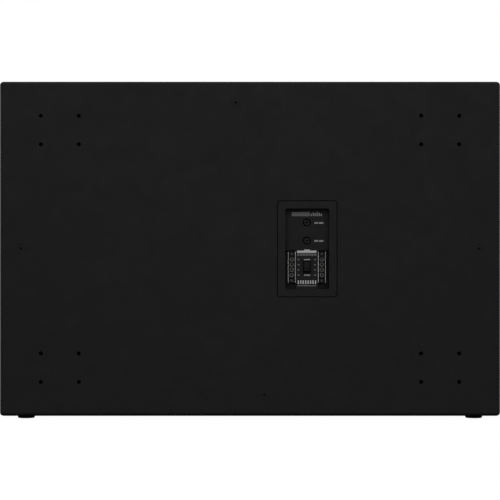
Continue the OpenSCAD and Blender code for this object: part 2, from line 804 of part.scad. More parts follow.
// A point on the cone's front face, from the lip at t = 0 to the neck at t = 1, gently flared.
function cone_at(t) = [cone_lip_r + (coil_r + 2 - cone_lip_r) * t,
    ledge_z + (neck_z - ledge_z) * (t + 0.12 * sin(180 * t))];

cap_r = 64;
cap_h = 22;

module dust_cap() {
    t = cap_seat();
    z = cone_at(t)[1];
    ball = (cap_r * cap_r + cap_h * cap_h) / (2 * cap_h);
    translate([0, 0, z]) difference() {
        intersection() {
            translate([0, 0, cap_h - ball]) sphere(ball, $fn = 96);
            cylinder(r = cap_r + 1, h = cap_h + 1);
        }
        translate([0, 0, cap_h - ball - 1.2]) sphere(ball, $fn = 96);
        // the rim rests on the cone's slope
        rotate_extrude($fn = 96)
            polygon([[cap_r - 9, -cut], [cap_r + 6, -cut], [cap_r + 6, 5.5], [cap_r, 0.6]]);
    }
}

// Where along the cone the dust cap's rim sits.
function cap_seat() = (cone_lip_r - cap_r) / (cone_lip_r - coil_r - 2);

module voice_coil() {
    difference() {
        cylinder(r = coil_r + 0.5, h = 200, center = true);
        cylinder(r = coil_r, h = 202, center = true);
        translate([0, 0, neck_z - 0.5]) cylinder(r = 100, h = 300);
        translate([0, 0, -152 - 300]) cylinder(r = 100, h = 300);
    }
    translate([0, 0, plate_z - plate_t / 2 - 12]) difference() {
        cylinder(r = coil_r + 1.9, h = 24);
        translate([0, 0, -cut]) cylinder(r = coil_r + 0.5, h = 26);
    }
}

spider_waves = 5;
spider_steps = 30;
function spider_pt(i, lift) = let (t = i / spider_steps, r0 = coil_r + 0.6)
    [r0 + (spider_flat_r - r0) * t, spider_z + 2.6 * sin(360 * spider_waves * t) + lift];

module spider() {
    rotate_extrude() polygon(concat(
        [for (i = [0:spider_steps]) spider_pt(i, 1)],
        [[spider_out_r, spider_z + 1], [spider_out_r, landing_z]],
        [for (i = [spider_steps:-1:0]) spider_pt(i, -spider_under)]));
}

module top_plate() {
    difference() {
        translate([0, 0, plate_z - plate_t]) cylinder(r = magnet_r - 2, h = plate_t);
        translate([0, 0, plate_z - plate_t - cut]) cylinder(r = coil_r + 3.2, h = plate_t + 2 * cut);
    }
}

module magnet() {
    translate([0, 0, plate_z - plate_t - magnet_t]) difference() {
        cylinder(r = magnet_r, h = magnet_t);
        translate([0, 0, -cut]) cylinder(r = 66, h = magnet_t + 2 * cut);
    }
}

module back_plate() {
    difference() {
        union() {
            translate([0, 0, plate_z - 2 * plate_t - magnet_t]) cylinder(r = magnet_r - 2, h = plate_t);
            translate([0, 0, plate_z - plate_t - magnet_t])
                cylinder(r = coil_r - 1.4, h = plate_t + magnet_t);
        }
        translate([0, 0, -250]) cylinder(r = 15, h = 200);
    }
}

module left_basket() color("#2b2b2d") at_driver(-1) basket();
module right_basket() color("#2b2b2d") at_driver(1) basket();
module left_surround() color("#151517") at_driver(-1) surround();
module right_surround() color("#151517") at_driver(1) surround();
module left_cone() color("#222224") at_driver(-1) cone();
module right_cone() color("#222224") at_driver(1) cone();
module left_dust_cap() color("#1b1b1d") at_driver(-1) dust_cap();
module right_dust_cap() color("#1b1b1d") at_driver(1) dust_cap();
module left_voice_coil() color("#b06a3a") at_driver(-1) voice_coil();
module right_voice_coil() color("#b06a3a") at_driver(1) voice_coil();
module left_spider() color("#c9a24c") at_driver(-1) spider();
module right_spider() color("#c9a24c") at_driver(1) spider();
module left_top_plate() color("#9a9a98") at_driver(-1) top_plate();
module right_top_plate() color("#9a9a98") at_driver(1) top_plate();
module left_magnet() color("#2e2e30") at_driver(-1) magnet();
module right_magnet() color("#2e2e30") at_driver(1) magnet();
module left_back_plate() color("#9a9a98") at_driver(-1) back_plate();
module right_back_plate() color("#9a9a98") at_driver(1) back_plate();

module driver_gaskets() {
    color("#0c0c0c") for (s = [-1, 1]) at_driver(s) difference() {
        cylinder(r = driver_r, h = gasket_t, $fn = 96);
        translate([0, 0, -cut]) cylinder(r = cutout_r, h = gasket_t + 2 * cut, $fn = 96);
        for (i = [0:bolt_count - 1])
            rotate((i + 0.5) * 360 / bolt_count) translate([bolt_ring_r, 0, -cut])
                cylinder(r = bolt_r + 0.5, h = 10);
    }
}

module driver_bolts() {
    grip = flange_t + gasket_t + baffle_t;
    color("#1a1a1a") for (s = [-1, 1], i = [0:bolt_count - 1]) at_driver(s)
        rotate((i + 0.5) * 360 / bolt_count) translate([bolt_ring_r, 0, flange_z + flange_t]) difference() {
            union() {
                cylinder(r = 5, h = 6);
                translate([0, 0, -grip]) cylinder(r = bolt_r, h = grip);
            }
            translate([0, 0, 2.5]) cylinder(r = 2.9, h = 6, $fn = 6);
        }
}

terminal_block_r = magnet_r + 4;

// The push terminals sit on the side of each frame that faces the brace.
module driver_terminals() {
    color("#7d1f1f") for (s = [-1, 1]) at_driver(s) rotate(s > 0 ? 180 : 0) difference() {
        translate([terminal_block_r - 4, -20, -122]) cube([16, 40, 18]);
        translate([0, 0, -150]) cylinder(r = terminal_block_r, h = 60);
        for (y = [-9, 9])
            translate([terminal_block_r + 5, y, -113]) rotate([0, 90, 0]) cylinder(r = 2.5, h = 20);
    }
}

cable_r = 4;
cable_bend = 14;
cable_y0 = y_pocket - dish_wall - 13;
cable_y1 = y_baffle + 113;
cable_z = dish_z + strip_v;
cable_x1 = driver_x - terminal_block_r - 12;
left_route = [[dish_x - strip_x, cable_y0, cable_z], [dish_x - strip_x, 155, cable_z], [-108, 155, cable_z],
    [-108, cable_y1, cable_z], [-108, cable_y1, driver_z], [-cable_x1, cable_y1, driver_z]];
right_route = [[dish_x + strip_x, cable_y0, cable_z], [dish_x + strip_x, 120, cable_z], [108, 120, cable_z],
    [108, cable_y1, cable_z], [108, cable_y1, driver_z], [cable_x1, cable_y1, driver_z]];

function way(route, i) = (route[i + 1] - route[i]) / norm(route[i + 1] - route[i]);

// A straight piece of cable from a to b.
module cable_run(a, b) {
    d = b - a;
    translate(a) rotate([0, acos(d[2] / norm(d)), atan2(d[1], d[0])]) cylinder(r = cable_r, h = norm(d));
}

// A quarter bend round the corner p, coming along a and leaving along b.
module cable_elbow(p, a, b) {
    c = p + cable_bend * (b - a);
    n = cross(a, b);
    multmatrix([[-b[0], a[0], n[0], c[0]], [-b[1], a[1], n[1], c[1]],
        [-b[2], a[2], n[2], c[2]], [0, 0, 0, 1]])
        rotate_extrude(angle = 90) translate([cable_bend, 0]) circle(cable_r);
}

module cable(route) {
    last = len(route) - 2;
    for (i = [0:last])
        cable_run(route[i] + (i > 0 ? cable_bend : 0) * way(route, i),
            route[i + 1] - (i < last ? cable_bend : 0) * way(route, i));
    for (i = [1:last]) cable_elbow(route[i], way(route, i - 1), way(route, i));
}

module driver_cables() {
    color("#1b1b1b") {
        cable(left_route);
        cable(right_route);
    }
}

// ---------- what is drawn ----------

top_panel();
bottom_panel();
mirror([1, 0, 0]) side_panel();  // left_side_panel
side_panel();  // right_side_panel
rear_panel();
front_baffle();
centre_brace();
port_shelf();
port_divider();
grille();
grille_foam();
grille_spacers();
grille_screws();
feet();
panel_screws();
handle_dishes();
handle_bars();
castor_tee_nuts();
rigging_inserts();
rigging_blanking_bolts();
input_dish();
dish_gasket();
input_socket();
link_socket();
socket_contacts();
input_panel_screws();
terminal_strips();
terminal_plates();
for (i = [0:3]) {
    terminal_screw(-1, i);
    terminal_screw(1, i);
}
mode_switch_body();
mode_switch_rocker();
driver_gaskets();
driver_terminals();
driver_bolts();
driver_cables();
left_basket();
left_surround();
left_cone();
left_dust_cap();
left_voice_coil();
left_spider();
left_top_plate();
left_magnet();
left_back_plate();
right_basket();
right_surround();
right_cone();
right_dust_cap();
right_voice_coil();
right_spider();
right_top_plate();
right_magnet();
right_back_plate();
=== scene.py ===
"""A dual-driver subwoofer cabinet seen from behind.

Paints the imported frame, adds its printed marks, grille and soft pieces, and sets the camera, lights
and floor.
"""

import math

import bmesh
import bpy
import numpy as np
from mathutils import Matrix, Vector


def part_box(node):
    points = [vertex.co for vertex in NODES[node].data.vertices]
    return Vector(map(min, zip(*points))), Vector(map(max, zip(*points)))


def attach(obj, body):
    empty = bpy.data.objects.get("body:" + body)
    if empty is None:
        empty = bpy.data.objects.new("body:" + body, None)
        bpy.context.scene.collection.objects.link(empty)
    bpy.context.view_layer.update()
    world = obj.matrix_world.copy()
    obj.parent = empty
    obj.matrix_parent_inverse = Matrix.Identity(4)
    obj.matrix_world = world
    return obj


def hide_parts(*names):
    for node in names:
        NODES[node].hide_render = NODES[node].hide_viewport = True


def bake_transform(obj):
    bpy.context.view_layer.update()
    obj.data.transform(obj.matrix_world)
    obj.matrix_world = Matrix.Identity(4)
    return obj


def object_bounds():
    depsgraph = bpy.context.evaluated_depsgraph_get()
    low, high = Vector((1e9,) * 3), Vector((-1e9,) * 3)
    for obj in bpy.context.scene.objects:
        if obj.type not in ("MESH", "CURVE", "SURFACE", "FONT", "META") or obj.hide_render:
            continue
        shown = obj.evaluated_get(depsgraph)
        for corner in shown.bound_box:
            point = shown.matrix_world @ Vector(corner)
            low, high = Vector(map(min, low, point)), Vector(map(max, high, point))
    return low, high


MM = 0.001

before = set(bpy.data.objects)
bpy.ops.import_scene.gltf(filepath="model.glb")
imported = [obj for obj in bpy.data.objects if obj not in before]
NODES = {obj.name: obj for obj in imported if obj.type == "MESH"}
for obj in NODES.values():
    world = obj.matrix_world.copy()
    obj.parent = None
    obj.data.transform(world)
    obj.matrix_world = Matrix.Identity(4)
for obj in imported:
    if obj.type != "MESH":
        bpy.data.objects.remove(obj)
CAD_LOW, CAD_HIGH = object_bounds()
CABINET = "cabinet"

# The sky's strength below and overhead, the lights' power in watts, and how bright the floor looks to
# the camera.
SKY_LOW = 0.14
SKY_HIGH = 0.46
OVERHEAD_W = 24
KEY_W = 76
SIDE_W = 70
FLOOR_GLOW = 0.97


# ---------- colours ----------


def grey(level):
    return (level, level, level)


def scaled(colour, by, plus=0.0):
    """The colour made lighter or darker."""
    return tuple(c * by + plus for c in colour)


BODY_BLACK = grey(0.0085)
TRIM_BLACK = grey(0.010)
# Painted shade deep in gaps and holes, and darker painted shade deep in pockets.
HOLE_PAINTED_SHADE = grey(0.0006)
PIT_PAINTED_SHADE = grey(0.0004)


# ---------- node helpers ----------


class Finish:
    """A Principled material that is built up in layers of colour variation and bump."""

    def __init__(self, name, colour, rough, metal=0.0, specular=0.5, coat=0.0, sheen=0.0):
        self.material = bpy.data.materials.new(name)
        self.material.use_nodes = True
        self.nodes = self.material.node_tree.nodes
        self.links = self.material.node_tree.links
        self.shader = self.nodes["Principled BSDF"]
        self.where = self.nodes.new("ShaderNodeTexCoord").outputs["Object"]
        self.set("Base Color", (*colour, 1))
        self.set("Roughness", rough)
        self.set("Metallic", metal)
        self.set("Specular IOR Level", specular)
        self.set("Coat Weight", coat)
        self.set("Sheen Weight", sheen)

    def set(self, socket, value):
        """Gives one of the shader's own sockets a constant."""
        self.shader.inputs[socket].default_value = value

    def node(self, kind, **sockets):
        """A new node, with constants for the sockets named (an underscore stands for a space)."""
        made = self.nodes.new(kind)
        for name, value in sockets.items():
            made.inputs[name.replace("_", " ")].default_value = value
        return made

    def placed(self, origin=(0, 0, 0), scale=(1, 1, 1)):
        """Coordinates about origin, scaled along each axis."""
        shift = self.node("ShaderNodeVectorMath")
        shift.operation = "SUBTRACT"
        shift.inputs[1].default_value = origin
        self.links.new(self.where, shift.inputs[0])
        mapping = self.node("ShaderNodeMapping", Scale=scale)
        self.links.new(shift.outputs[0], mapping.inputs["Vector"])
        return mapping.outputs["Vector"]

    def noise(self, size, detail=2.0, where=None, rough=0.5):
        """Noise whose lumps are about size metres across."""
        made = self.node("ShaderNodeTexNoise", Scale=1 / size, Detail=detail, Roughness=rough)
        self.links.new(where or self.where, made.inputs["Vector"])
        return made.outputs["Fac"]

    def cells(self, size, smooth=0.6):
        """Rounded cells about size metres across."""
        made = self.nodes.new("ShaderNodeTexVoronoi")
        made.feature = "SMOOTH_F1"
        made.inputs["Scale"].default_value = 1 / size
        made.inputs["Smoothness"].default_value = smooth
        self.links.new(self.where, made.inputs["Vector"])
        return made.outputs["Distance"]

    def waves(self, pitch, kind="BANDS", direction="X", where=None, wobble=0.0):
        """Smooth bands or rings that repeat every pitch metres."""
        made = self.nodes.new("ShaderNodeTexWave")
        made.wave_type = kind
        if kind == "BANDS":
            made.bands_direction = direction
        else:
            made.rings_direction = direction
        made.inputs["Scale"].default_value = math.tau / (20 * pitch)
        made.inputs["Distortion"].default_value = wobble
        self.links.new(where or self.where, made.inputs["Vector"])
        return made.outputs["Fac"]

    def math(self, operation, a, b=0.0):
        """One arithmetic step on two numbers or sockets."""
        made = self.nodes.new("ShaderNodeMath")
        made.operation = operation
        for socket, value in zip(made.inputs, (a, b)):
            if isinstance(value, (int, float)):
                socket.default_value = value
            else:
                self.links.new(value, socket)
        return made.outputs[0]

    def ramp(self, fac, low, high):
        """0 where fac is low, 1 where it is high, and smooth between."""
        made = self.nodes.new("ShaderNodeMapRange")
        made.interpolation_type = "SMOOTHSTEP"
        made.inputs["From Min"].default_value = low
        made.inputs["From Max"].default_value = high
        self.links.new(fac, made.inputs["Value"])
        return made.outputs["Result"]

    def tint(self, fac, other, low=0.3, high=0.7):
        """The colour turns towards other where fac goes from low to high."""
        mix = self.nodes.new("ShaderNodeMix")
        mix.data_type = "RGBA"
        self.links.new(self.ramp(fac, low, high), mix.inputs[0])
        source = self.shader.inputs["Base Color"]
        if source.is_linked:
            self.links.new(source.links[0].from_socket, mix.inputs[6])
        else:
            mix.inputs[6].default_value = source.default_value
        mix.inputs[7].default_value = (*other, 1)
        self.links.new(mix.outputs[2], source)

    def gloss(self, fac, low, high):
        """Roughness runs from low to high with fac."""
        made = self.nodes.new("ShaderNodeMapRange")
        made.inputs["To Min"].default_value = low
        made.inputs["To Max"].default_value = high
        self.links.new(fac, made.inputs["Value"])
        self.links.new(made.outputs["Result"], self.shader.inputs["Roughness"])

    def depth(self, low, high):
        """0 at y = low and 1 at y = high; either may be the larger."""
        split = self.nodes.new("ShaderNodeSeparateXYZ")
        self.links.new(self.where, split.inputs[0])
        return self.ramp(split.outputs["Y"], low, high)

    def bump(self, height, depth, strength=1.0):
        """A bump of depth metres on top of those already there."""
        made = self.node("ShaderNodeBump", Strength=strength, Distance=depth)
        self.links.new(height, made.inputs["Height"])
        normal = self.shader.inputs["Normal"]
        if normal.is_linked:
            self.links.new(normal.links[0].from_socket, made.inputs["Normal"])
        self.links.new(made.outputs["Normal"], normal)


def paint_nodes(finish, *names):
    """Gives CAD nodes a material."""
    for name in names:
        slots = NODES[name].data.materials
        slots.clear()
        slots.append(finish.material)


# ---------- materials ----------


def textured_paint(name, colour, rough=0.6, pebble=1.7 * MM, relief=0.22 * MM):
    """Sprayed structure paint: rounded pebbles with a finer grain on top."""
    f = Finish(name, colour, rough, specular=0.16)
    f.tint(f.noise(60 * MM, 3), scaled(colour, 1.25), 0.35, 0.8)
    f.tint(f.noise(0.9 * MM, 1), scaled(colour, 1.5), 0.45, 0.9)
    f.gloss(f.noise(25 * MM, 3), rough - 0.06, rough + 0.08)
    f.bump(f.cells(pebble), relief, 0.8)
    f.bump(f.noise(0.5 * MM, 2), relief * 0.35, 0.6)
    return f


def powder_coat(name, colour, rough):
    """Baked powder coat with a faint orange peel."""
    f = Finish(name, colour, rough, specular=0.3)
    f.tint(f.noise(12 * MM, 3), scaled(colour, 1.3))
    f.gloss(f.noise(6 * MM, 2), rough - 0.05, rough + 0.07)
    f.bump(f.noise(0.7 * MM, 2), 0.06 * MM, 0.7)
    return f


def rubber(name, colour, rough=0.75):
    """Moulded rubber with a dusty bloom."""
    f = Finish(name, colour, rough, specular=0.25)
    f.tint(f.noise(5 * MM, 4), scaled(colour, 1.6, 0.001))
    f.gloss(f.noise(3 * MM, 3), rough - 0.1, min(1, rough + 0.1))
    f.bump(f.noise(0.6 * MM, 3), 0.08 * MM, 0.6)
    return f


def moulded_plastic(name, colour, rough=0.45, grain=0.4 * MM, relief=0.03 * MM, specular=0.4):
    """Moulded plastic with a fine spark-eroded grain."""
    f = Finish(name, colour, rough, specular=specular)
    f.tint(f.noise(8 * MM, 3), scaled(colour, 1.35, 0.0005))
    f.gloss(f.noise(4 * MM, 3), rough - 0.05, rough + 0.08)
    f.bump(f.noise(grain, 2), relief, 0.6)
    return f


def plated_metal(name, colour, rough):
    """Plated or bare metal, slightly stained."""
    f = Finish(name, colour, rough, metal=1.0)
    f.tint(f.noise(4 * MM, 4), scaled(colour, 0.7), 0.45, 0.8)
    f.gloss(f.noise(1.5 * MM, 4), rough - 0.1, rough + 0.15)
    f.bump(f.noise(0.3 * MM, 3), 0.01 * MM, 0.5)
    return f


def turned_metal(name, colour, axis):
    """Plate faced in a lathe about an axis along Y."""
    f = plated_metal(name, colour, 0.3)
    rings = f.waves(0.9 * MM, "RINGS", "Y", f.placed(axis), wobble=0.4)
    f.bump(rings, 0.015 * MM, 0.6)
    return f


def plywood(name, thickness_axis, grain_axis):
    """Birch plywood: veneers across the thickness and a stretched grain on the faces."""
    f = Finish(name, (0.52, 0.36, 0.20), 0.6, specular=0.3)
    f.tint(f.waves(2.8 * MM, "BANDS", thickness_axis, wobble=0.5), (0.30, 0.18, 0.09), 0.4, 0.6)
    stretch = {"X": (0.08, 1, 1), "Y": (1, 0.08, 1), "Z": (1, 1, 0.08)}[grain_axis]
    grain = f.placed(scale=stretch)
    f.tint(f.noise(5 * MM, 6, grain, 0.65), (0.42, 0.27, 0.14), 0.4, 0.75)
    f.tint(f.noise(1.2 * MM, 3, grain), (0.34, 0.21, 0.10), 0.62, 0.8)
    f.bump(f.noise(0.9 * MM, 4, grain), 0.08 * MM, 0.5)
    return f


def foam(name, colour, cell):
    """Foam with open pores about cell metres across."""
    f = Finish(name, colour, 0.95, specular=0.1)
    f.tint(f.noise(20 * MM, 3), scaled(colour, 1.4))
    f.tint(f.cells(cell, smooth=0.2), scaled(colour, 0.3), 0.25, 0.45)
    f.bump(f.cells(cell, smooth=0.2), 0.6 * MM, 0.9)
    return f


def woven(name, colour, thread, rough, coat=0.0):
    """Cloth woven square to the Y axis."""
    f = Finish(name, colour, rough, specular=0.3, coat=coat, sheen=0.1)
    warp = f.waves(thread, "BANDS", "X")
    weft = f.waves(thread, "BANDS", "Z")
    over = f.math("MULTIPLY", warp, weft)
    f.tint(over, scaled(colour, 0.6), 0.1, 0.9)
    f.tint(f.noise(15 * MM, 4), scaled(colour, 1.3))
    f.bump(over, 0.12 * MM, 0.8)
    return f


def pressed_paper(name, colour, axis, pitch):
    """Coated paper pulp with ribs pressed round an axis along Y."""
    f = Finish(name, colour, 0.62, specular=0.3)
    f.tint(f.noise(3 * MM, 6, rough=0.7), scaled(colour, 1.6), 0.45, 0.8)
    f.gloss(f.noise(9 * MM, 4), 0.5, 0.75)
    f.bump(f.waves(pitch, "RINGS", "Y", f.placed(axis)), 0.5 * MM, 0.5)
    f.bump(f.noise(0.8 * MM, 5, rough=0.7), 0.12 * MM, 0.7)
    return f


def windings(name, wire):
    """Enamelled copper wire wound side by side."""
    f = Finish(name, (0.48, 0.20, 0.09), 0.32, metal=1.0)
    f.tint(f.noise(6 * MM, 3), (0.36, 0.13, 0.06))
    f.gloss(f.noise(3 * MM, 3), 0.25, 0.4)
    f.bump(f.waves(wire, "BANDS", "Y"), 0.1 * MM, 0.9)
    return f


def ferrite(name):
    """Sintered ferrite with a coarse dull grain."""
    f = Finish(name, (0.030, 0.031, 0.034), 0.55, specular=0.5)
    f.tint(f.noise(1.1 * MM, 5, rough=0.75), (0.055, 0.055, 0.058), 0.5, 0.8)
    f.gloss(f.noise(7 * MM, 4), 0.45, 0.7)
    f.bump(f.noise(0.7 * MM, 5, rough=0.8), 0.1 * MM, 0.8)
    return f


def ink(name, colour):
    """Screen-printed ink, slightly uneven at its edges and in its cover."""
    f = Finish(name, colour, 0.6, specular=0.3)
    f.tint(f.noise(1.6 * MM, 3), scaled(colour, 0.8), 0.5, 0.85)
    f.gloss(f.noise(2 * MM, 2), 0.5, 0.7)
    f.bump(f.noise(0.4 * MM, 2), 0.02 * MM, 0.4)
    return f


# ---------- mesh helpers ----------


def mesh_object(name, bm, finish, smooth_angle=None):
    """Turns a bmesh into an object, smooth where its faces meet at less than smooth_angle degrees."""
    bmesh.ops.recalc_face_normals(bm, faces=bm.faces)
    data = bpy.data.meshes.new(name)
    bm.to_mesh(data)
    bm.free()
    obj = bpy.data.objects.new(name, data)
    bpy.context.scene.collection.objects.link(obj)
    data.materials.append(finish.material)
    if smooth_angle is not None:
        data.polygons.foreach_set("use_smooth", [True] * len(data.polygons))
        data.set_sharp_from_angle(angle=math.radians(smooth_angle))
    return obj


def add_box(bm, low, high, bevel=0.0):
    """A box between two corners, its edges cut back by bevel."""
    made = bmesh.ops.create_cube(bm, size=1)
    low, high = Vector(low), Vector(high)
    for v in made["verts"]:
        v.co = Vector(l + (c + 0.5) * (h - l) for l, h, c in zip(low, high, v.co))
    if bevel:
        edges = list({e for v in made["verts"] for e in v.link_edges})
        bmesh.ops.bevel(bm, geom=edges, offset=bevel, segments=1, affect="EDGES", profile=0.5)


def add_lathe(bm, centre, profile, segments, closed=True):
    """Turns (radius, distance towards -Y from centre) points about an axis along Y."""
    rings = []
    for radius, out in profile:
        if radius < 1e-7:
            rings.append([bm.verts.new((centre.x, centre.y - out, centre.z))])
            continue
        ring = []
        for i in range(segments):
            a = math.tau * i / segments
            ring.append(bm.verts.new((
                centre.x + radius * math.cos(a), centre.y - out, centre.z + radius * math.sin(a))))
        rings.append(ring)
    pairs = list(zip(rings, rings[1:] + rings[:1] if closed else rings[1:]))
    for a, b in pairs:
        for i in range(segments):
            j = (i + 1) % segments
            if len(a) == 1 and len(b) == 1:
                continue
            if len(a) == 1:
                bm.faces.new((a[0], b[j], b[i]))
            elif len(b) == 1:
                bm.faces.new((a[i], a[j], b[0]))
            else:
                bm.faces.new((a[i], a[j], b[j], b[i]))


def middle(low, high):
    return (low + high) / 2


# ---------- where things are ----------

rear_low, rear_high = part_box("rear_panel")
dish_low, dish_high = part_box("input_dish")
strip_low, strip_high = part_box("terminal_strips")
grille_low, grille_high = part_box("grille")
REAR = rear_high.y
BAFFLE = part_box("front_baffle")[0].y
DISH = middle(dish_low, dish_high)
STRIP_TOP = strip_high.y
# The dish's printed floor lies under the rim of the switch.
SWITCH_RIM_T = 2 * MM
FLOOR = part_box("mode_switch_body")[1].y - SWITCH_RIM_T


def driver_centre(side):
    """Where a driver's axis meets the front of the baffle."""
    low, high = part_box(f"{side}_basket")
    return Vector(((low.x + high.x) / 2, BAFFLE, (low.z + high.z) / 2))


# ---------- camera, light and floor ----------


def camera():
    """Square to the rear face at mid-height, with the cabinet filling the picture's width."""
    away = 4.2
    edge_radius = 7.5 * MM
    below_middle = 2.5 * MM
    picture_width = (CAD_HIGH.x - CAD_LOW.x) * 0.9995
    data = bpy.data.cameras.new("camera")
    data.sensor_width = 36
    data.lens = data.sensor_width * (away + edge_radius) / picture_width
    data.clip_end = 100
    cam = bpy.data.objects.new("camera", data)
    cam.location = (0, REAR + away, middle(rear_low, rear_high).z - below_middle)
    cam.rotation_euler = (math.radians(90), 0, math.radians(180))
    bpy.context.scene.collection.objects.link(cam)
    bpy.context.scene.camera = cam


def area_light(name, place, target, size, power):
    """A rectangular softbox at place, facing target."""
    data = bpy.data.lights.new(name, "AREA")
    data.shape = "RECTANGLE"
    data.size, data.size_y = size
    data.energy = power
    light = bpy.data.objects.new(name, data)
    light.location = place
    light.rotation_euler = (Vector(target) - Vector(place)).to_track_quat("-Z", "Y").to_euler()
    bpy.context.scene.collection.objects.link(light)


def sky():
    """White to the camera, and a dim sky to the object, brighter overhead."""
    world = bpy.data.worlds.new("studio")
    bpy.context.scene.world = world
    world.use_nodes = True
    nodes, links = world.node_tree.nodes, world.node_tree.links
    nodes.clear()
    out = nodes.new("ShaderNodeOutputWorld")
    mix = nodes.new("ShaderNodeMixShader")
    seen = nodes.new("ShaderNodeLightPath")
    backdrop = nodes.new("ShaderNodeBackground")
    backdrop.inputs["Color"].default_value = (1, 1, 1, 1)
    dome = nodes.new("ShaderNodeBackground")
    where = nodes.new("ShaderNodeTexCoord")
    split = nodes.new("ShaderNodeSeparateXYZ")
    ramp = nodes.new("ShaderNodeMapRange")
    ramp.inputs["From Min"].default_value = -0.3
    ramp.inputs["From Max"].default_value = 1.0
    ramp.inputs["To Min"].default_value = SKY_LOW
    ramp.inputs["To Max"].default_value = SKY_HIGH
    links.new(where.outputs["Generated"], split.inputs[0])
    links.new(split.outputs["Z"], ramp.inputs["Value"])
    links.new(ramp.outputs["Result"], dome.inputs["Strength"])
    links.new(seen.outputs["Is Camera Ray"], mix.inputs[0])
    links.new(dome.outputs[0], mix.inputs[1])
    links.new(backdrop.outputs[0], mix.inputs[2])
    links.new(mix.outputs[0], out.inputs["Surface"])


def studio():
    """A softbox overhead and one square to each side of the cabinet."""
    scene = bpy.context.scene
    scene.view_settings.view_transform = "Standard"
    scene.view_settings.look = "None"
    sky()
    area_light("overhead", (0, 0, 3.4), (0, 0, 0.4), (3.0, 2.4), OVERHEAD_W)
    for name, side in (("rear_key", 1), ("front_key", -1)):
        area_light(name, (0, side * 4.7, 1.5), (0, side * 0.2, 0.35), (3.2, 2.2), KEY_W)
    for name, side in (("left_key", -1), ("right_key", 1)):
        area_light(name, (side * 4.7, 0, 1.7), (side * 0.4, 0, 0.35), (2.4, 2.2), SIDE_W)


def floor():
    """A floor that looks white to the camera and dark to everything else."""
    half_size = 60
    bm = bmesh.new()
    bmesh.ops.create_grid(bm, x_segments=1, y_segments=1, size=half_size)
    f = Finish("floor_white", grey(0.05), 0.9, specular=0.0)
    obj = mesh_object("floor", bm, f)
    out = f.nodes["Material Output"]
    add = f.nodes.new("ShaderNodeAddShader")
    glow = f.nodes.new("ShaderNodeEmission")
    path = f.nodes.new("ShaderNodeLightPath")
    seen = f.math("MULTIPLY", path.outputs["Is Camera Ray"], FLOOR_GLOW)
    f.links.new(seen, glow.inputs["Strength"])
    f.links.new(f.shader.outputs[0], add.inputs[0])
    f.links.new(glow.outputs[0], add.inputs[1])
    f.links.new(add.outputs[0], out.inputs["Surface"])


# ---------- painting the CAD nodes ----------


def paint_cabinet():
    """The panels and everything fixed to them."""
    body = textured_paint("cabinet_textured_paint", BODY_BLACK)
    paint_nodes(body, "top_panel", "bottom_panel", "left_side_panel", "right_side_panel")
    rear = textured_paint("rear_textured_paint", BODY_BLACK)
    # Painted shade: the panel turns black from 1.5 to 3.5 mm under its rear face, in the rebate round the
    # dish and in its holes.
    rear.tint(rear.depth(REAR - 1.5 * MM, REAR - 3.5 * MM), HOLE_PAINTED_SHADE, 0, 1)
    paint_nodes(rear, "rear_panel")
    paint_nodes(textured_paint("baffle_black", TRIM_BLACK, 0.7), "front_baffle")
    paint_nodes(plywood("birch_upright", "X", "Z"), "centre_brace", "port_divider")
    paint_nodes(plywood("birch_level", "Z", "X"), "port_shelf")
    paint_nodes(rubber("foot_rubber", TRIM_BLACK), "feet")
    black = plated_metal("blackened_steel", (0.035, 0.035, 0.036), 0.42)
    paint_nodes(black, "grille_screws", "panel_screws", "input_panel_screws", "driver_bolts")
    paint_nodes(moulded_plastic("spacer_black", TRIM_BLACK), "grille_spacers")
    paint_nodes(plated_metal("bright_zinc", (0.58, 0.58, 0.56), 0.3), "rigging_inserts")
    paint_nodes(plated_metal("black_zinc", grey(0.004), 0.6), "castor_tee_nuts")
    bolt = textured_paint("blanking_bolt_black", scaled(BODY_BLACK, 0.9))
    # Painted shade: each bolt turns black deep in its socket, more than 1 mm under the rear face.
    bolt.tint(bolt.depth(REAR - 1 * MM, REAR - 3 * MM), PIT_PAINTED_SHADE, 0, 1)
    paint_nodes(bolt, "rigging_blanking_bolts")
    paint_nodes(moulded_plastic("handle_black", TRIM_BLACK, 0.55, 0.7 * MM, 0.1 * MM), "handle_dishes")


